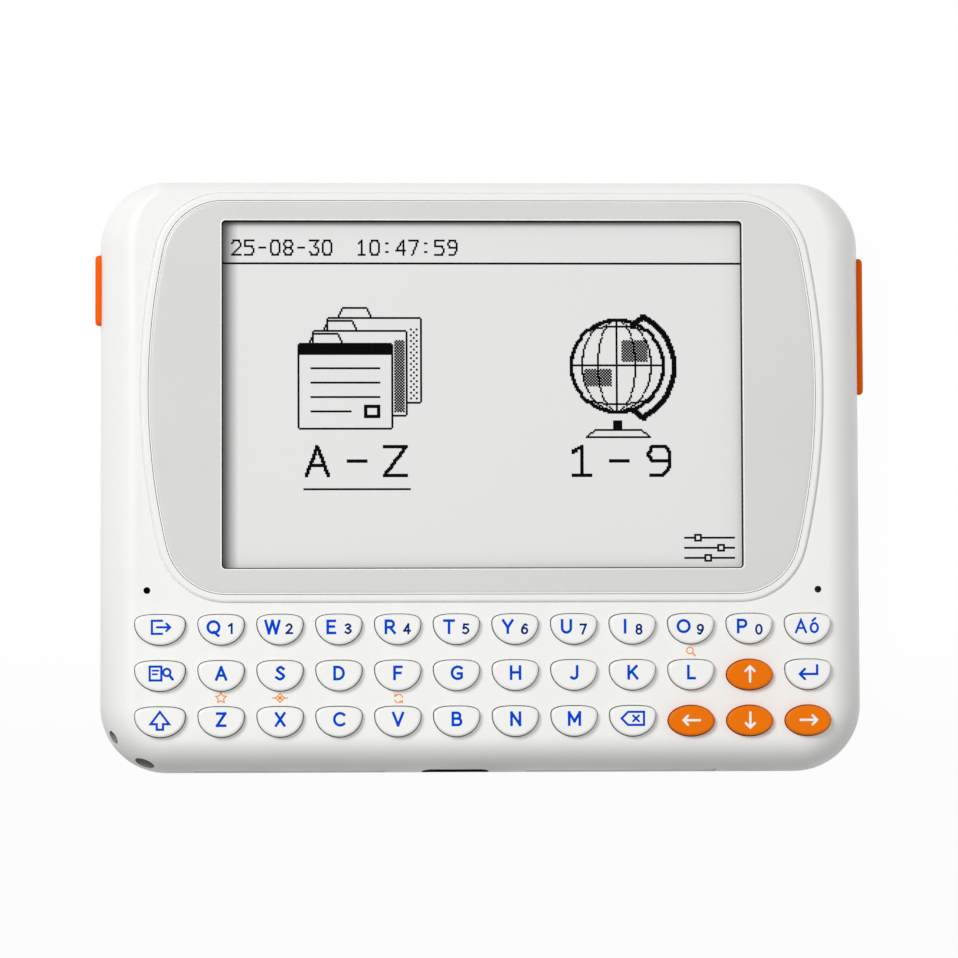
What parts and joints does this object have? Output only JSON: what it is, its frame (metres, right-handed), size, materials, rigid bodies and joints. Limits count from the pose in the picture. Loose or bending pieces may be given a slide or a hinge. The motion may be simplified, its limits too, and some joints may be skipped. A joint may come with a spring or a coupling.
{
  "type": "electronic dictionary",
  "caption": "Handheld electronic dictionary: a white pillow-edged slate with a grey screen panel over half-moon keys and side buttons.",
  "frame": {"origin": "centre of the overall box, on the plane of the rear face", "axes": "+X to the right across the keyboard, +Y towards the edge above the screen, +Z out of the screen and keys; the object lies on its back"},
  "size_m": [0.1076, 0.0826, 0.0144],
  "materials": {
    "casing": "fine satin, moulded",
    "panel": "smooth satin",
    "display": "matt reflective display",
    "white_keys": "satin",
    "orange_keys": "satin",
    "black_parts": "moulded",
    "rubber": "matt silicone",
    "film": "polyimide film",
    "board": "solder mask",
    "lens": "clear moulded",
    "steel": "plated",
    "cell": "foil pouch"
  },
  "bodies": {
    "casing": {"front_shell": "casing", "rear_shell": "casing", "screen_panel": "panel", "display": "display", "display_holder": "black_parts", "flex_connector": "black_parts", "display_flex": "film", "key_mat": "rubber", "dome_film": "film", "main_board": "board", "charge_light": "lens", "microphone": "steel", "power_switch": "black_parts", "rocker_switch": "black_parts", "port_shell": "steel", "port_tongue": "black_parts", "battery": "cell", "speaker": "steel", "upper_left_screw": "steel", "upper_right_screw": "steel", "lower_left_screw": "steel", "lower_right_screw": "steel"},
    "power": {"power_button": "orange_keys"},
    "rocker": {"page_rocker": "orange_keys"},
    "exit_key": {"key_exit": "white_keys"},
    "q_key": {"key_q": "white_keys"},
    "w_key": {"key_w": "white_keys"},
    "e_key": {"key_e": "white_keys"},
    "r_key": {"key_r": "white_keys"},
    "t_key": {"key_t": "white_keys"},
    "y_key": {"key_y": "white_keys"},
    "u_key": {"key_u": "white_keys"},
    "i_key": {"key_i": "white_keys"},
    "o_key": {"key_o": "white_keys"},
    "p_key": {"key_p": "white_keys"},
    "accent_key": {"key_accent": "white_keys"},
    "look_up_key": {"key_look_up": "white_keys"},
    "a_key": {"key_a": "white_keys"},
    "s_key": {"key_s": "white_keys"},
    "d_key": {"key_d": "white_keys"},
    "f_key": {"key_f": "white_keys"},
    "g_key": {"key_g": "white_keys"},
    "h_key": {"key_h": "white_keys"},
    "j_key": {"key_j": "white_keys"},
    "k_key": {"key_k": "white_keys"},
    "l_key": {"key_l": "white_keys"},
    "up_key": {"key_up": "orange_keys"},
    "enter_key": {"key_enter": "white_keys"},
    "shift_key": {"key_shift": "white_keys"},
    "z_key": {"key_z": "white_keys"},
    "x_key": {"key_x": "white_keys"},
    "c_key": {"key_c": "white_keys"},
    "v_key": {"key_v": "white_keys"},
    "b_key": {"key_b": "white_keys"},
    "n_key": {"key_n": "white_keys"},
    "m_key": {"key_m": "white_keys"},
    "delete_key": {"key_delete": "white_keys"},
    "left_key": {"key_left": "orange_keys"},
    "down_key": {"key_down": "orange_keys"},
    "right_key": {"key_right": "orange_keys"}
  },
  "joints": [
    {"name": "power_press", "type": "slide", "parent": "casing", "child": "power", "axis": [1, 0, 0], "range_m": [0, 0.0004], "stiffness_N_per_m": 1500, "springref_m": -0.0002},
    {"name": "rocker_tilt", "type": "hinge", "parent": "casing", "child": "rocker", "pos_m": [0.0499, 0.02105, 0.0059], "axis": [0, 0, 1], "range_deg": [-2.5, 2.5], "stiffness_Nm_per_rad": 0.2},
    {"name": "exit_key_press", "type": "slide", "parent": "casing", "child": "exit_key", "axis": [0, 0, -1], "range_m": [0, 0.0006], "stiffness_N_per_m": 1000, "springref_m": -0.0003, "deforming": ["key_mat"]},
    {"name": "q_key_press", "type": "slide", "parent": "casing", "child": "q_key", "axis": [0, 0, -1], "range_m": [0, 0.0006], "stiffness_N_per_m": 1000, "springref_m": -0.0003, "deforming": ["key_mat"]},
    {"name": "w_key_press", "type": "slide", "parent": "casing", "child": "w_key", "axis": [0, 0, -1], "range_m": [0, 0.0006], "stiffness_N_per_m": 1000, "springref_m": -0.0003, "deforming": ["key_mat"]},
    {"name": "e_key_press", "type": "slide", "parent": "casing", "child": "e_key", "axis": [0, 0, -1], "range_m": [0, 0.0006], "stiffness_N_per_m": 1000, "springref_m": -0.0003, "deforming": ["key_mat"]},
    {"name": "r_key_press", "type": "slide", "parent": "casing", "child": "r_key", "axis": [0, 0, -1], "range_m": [0, 0.0006], "stiffness_N_per_m": 1000, "springref_m": -0.0003, "deforming": ["key_mat"]},
    {"name": "t_key_press", "type": "slide", "parent": "casing", "child": "t_key", "axis": [0, 0, -1], "range_m": [0, 0.0006], "stiffness_N_per_m": 1000, "springref_m": -0.0003, "deforming": ["key_mat"]},
    {"name": "y_key_press", "type": "slide", "parent": "casing", "child": "y_key", "axis": [0, 0, -1], "range_m": [0, 0.0006], "stiffness_N_per_m": 1000, "springref_m": -0.0003, "deforming": ["key_mat"]},
    {"name": "u_key_press", "type": "slide", "parent": "casing", "child": "u_key", "axis": [0, 0, -1], "range_m": [0, 0.0006], "stiffness_N_per_m": 1000, "springref_m": -0.0003, "deforming": ["key_mat"]},
    {"name": "i_key_press", "type": "slide", "parent": "casing", "child": "i_key", "axis": [0, 0, -1], "range_m": [0, 0.0006], "stiffness_N_per_m": 1000, "springref_m": -0.0003, "deforming": ["key_mat"]},
    {"name": "o_key_press", "type": "slide", "parent": "casing", "child": "o_key", "axis": [0, 0, -1], "range_m": [0, 0.0006], "stiffness_N_per_m": 1000, "springref_m": -0.0003, "deforming": ["key_mat"]},
    {"name": "p_key_press", "type": "slide", "parent": "casing", "child": "p_key", "axis": [0, 0, -1], "range_m": [0, 0.0006], "stiffness_N_per_m": 1000, "springref_m": -0.0003, "deforming": ["key_mat"]},
    {"name": "accent_key_press", "type": "slide", "parent": "casing", "child": "accent_key", "axis": [0, 0, -1], "range_m": [0, 0.0006], "stiffness_N_per_m": 1000, "springref_m": -0.0003, "deforming": ["key_mat"]},
    {"name": "look_up_key_press", "type": "slide", "parent": "casing", "child": "look_up_key", "axis": [0, 0, -1], "range_m": [0, 0.0006], "stiffness_N_per_m": 1000, "springref_m": -0.0003, "deforming": ["key_mat"]},
    {"name": "a_key_press", "type": "slide", "parent": "casing", "child": "a_key", "axis": [0, 0, -1], "range_m": [0, 0.0006], "stiffness_N_per_m": 1000, "springref_m": -0.0003, "deforming": ["key_mat"]},
    {"name": "s_key_press", "type": "slide", "parent": "casing", "child": "s_key", "axis": [0, 0, -1], "range_m": [0, 0.0006], "stiffness_N_per_m": 1000, "springref_m": -0.0003, "deforming": ["key_mat"]},
    {"name": "d_key_press", "type": "slide", "parent": "casing", "child": "d_key", "axis": [0, 0, -1], "range_m": [0, 0.0006], "stiffness_N_per_m": 1000, "springref_m": -0.0003, "deforming": ["key_mat"]},
    {"name": "f_key_press", "type": "slide", "parent": "casing", "child": "f_key", "axis": [0, 0, -1], "range_m": [0, 0.0006], "stiffness_N_per_m": 1000, "springref_m": -0.0003, "deforming": ["key_mat"]},
    {"name": "g_key_press", "type": "slide", "parent": "casing", "child": "g_key", "axis": [0, 0, -1], "range_m": [0, 0.0006], "stiffness_N_per_m": 1000, "springref_m": -0.0003, "deforming": ["key_mat"]},
    {"name": "h_key_press", "type": "slide", "parent": "casing", "child": "h_key", "axis": [0, 0, -1], "range_m": [0, 0.0006], "stiffness_N_per_m": 1000, "springref_m": -0.0003, "deforming": ["key_mat"]},
    {"name": "j_key_press", "type": "slide", "parent": "casing", "child": "j_key", "axis": [0, 0, -1], "range_m": [0, 0.0006], "stiffness_N_per_m": 1000, "springref_m": -0.0003, "deforming": ["key_mat"]},
    {"name": "k_key_press", "type": "slide", "parent": "casing", "child": "k_key", "axis": [0, 0, -1], "range_m": [0, 0.0006], "stiffness_N_per_m": 1000, "springref_m": -0.0003, "deforming": ["key_mat"]},
    {"name": "l_key_press", "type": "slide", "parent": "casing", "child": "l_key", "axis": [0, 0, -1], "range_m": [0, 0.0006], "stiffness_N_per_m": 1000, "springref_m": -0.0003, "deforming": ["key_mat"]},
    {"name": "up_key_press", "type": "slide", "parent": "casing", "child": "up_key", "axis": [0, 0, -1], "range_m": [0, 0.0006], "stiffness_N_per_m": 1000, "springref_m": -0.0003, "deforming": ["key_mat"]},
    {"name": "enter_key_press", "type": "slide", "parent": "casing", "child": "enter_key", "axis": [0, 0, -1], "range_m": [0, 0.0006], "stiffness_N_per_m": 1000, "springref_m": -0.0003, "deforming": ["key_mat"]},
    {"name": "shift_key_press", "type": "slide", "parent": "casing", "child": "shift_key", "axis": [0, 0, -1], "range_m": [0, 0.0006], "stiffness_N_per_m": 1000, "springref_m": -0.0003, "deforming": ["key_mat"]},
    {"name": "z_key_press", "type": "slide", "parent": "casing", "child": "z_key", "axis": [0, 0, -1], "range_m": [0, 0.0006], "stiffness_N_per_m": 1000, "springref_m": -0.0003, "deforming": ["key_mat"]},
    {"name": "x_key_press", "type": "slide", "parent": "casing", "child": "x_key", "axis": [0, 0, -1], "range_m": [0, 0.0006], "stiffness_N_per_m": 1000, "springref_m": -0.0003, "deforming": ["key_mat"]},
    {"name": "c_key_press", "type": "slide", "parent": "casing", "child": "c_key", "axis": [0, 0, -1], "range_m": [0, 0.0006], "stiffness_N_per_m": 1000, "springref_m": -0.0003, "deforming": ["key_mat"]},
    {"name": "v_key_press", "type": "slide", "parent": "casing", "child": "v_key", "axis": [0, 0, -1], "range_m": [0, 0.0006], "stiffness_N_per_m": 1000, "springref_m": -0.0003, "deforming": ["key_mat"]},
    {"name": "b_key_press", "type": "slide", "parent": "casing", "child": "b_key", "axis": [0, 0, -1], "range_m": [0, 0.0006], "stiffness_N_per_m": 1000, "springref_m": -0.0003, "deforming": ["key_mat"]},
    {"name": "n_key_press", "type": "slide", "parent": "casing", "child": "n_key", "axis": [0, 0, -1], "range_m": [0, 0.0006], "stiffness_N_per_m": 1000, "springref_m": -0.0003, "deforming": ["key_mat"]},
    {"name": "m_key_press", "type": "slide", "parent": "casing", "child": "m_key", "axis": [0, 0, -1], "range_m": [0, 0.0006], "stiffness_N_per_m": 1000, "springref_m": -0.0003, "deforming": ["key_mat"]},
    {"name": "delete_key_press", "type": "slide", "parent": "casing", "child": "delete_key", "axis": [0, 0, -1], "range_m": [0, 0.0006], "stiffness_N_per_m": 1000, "springref_m": -0.0003, "deforming": ["key_mat"]},
    {"name": "left_key_press", "type": "slide", "parent": "casing", "child": "left_key", "axis": [0, 0, -1], "range_m": [0, 0.0006], "stiffness_N_per_m": 1000, "springref_m": -0.0003, "deforming": ["key_mat"]},
    {"name": "down_key_press", "type": "slide", "parent": "casing", "child": "down_key", "axis": [0, 0, -1], "range_m": [0, 0.0006], "stiffness_N_per_m": 1000, "springref_m": -0.0003, "deforming": ["key_mat"]},
    {"name": "right_key_press", "type": "slide", "parent": "casing", "child": "right_key", "axis": [0, 0, -1], "range_m": [0, 0.0006], "stiffness_N_per_m": 1000, "springref_m": -0.0003, "deforming": ["key_mat"]}
  ]
}
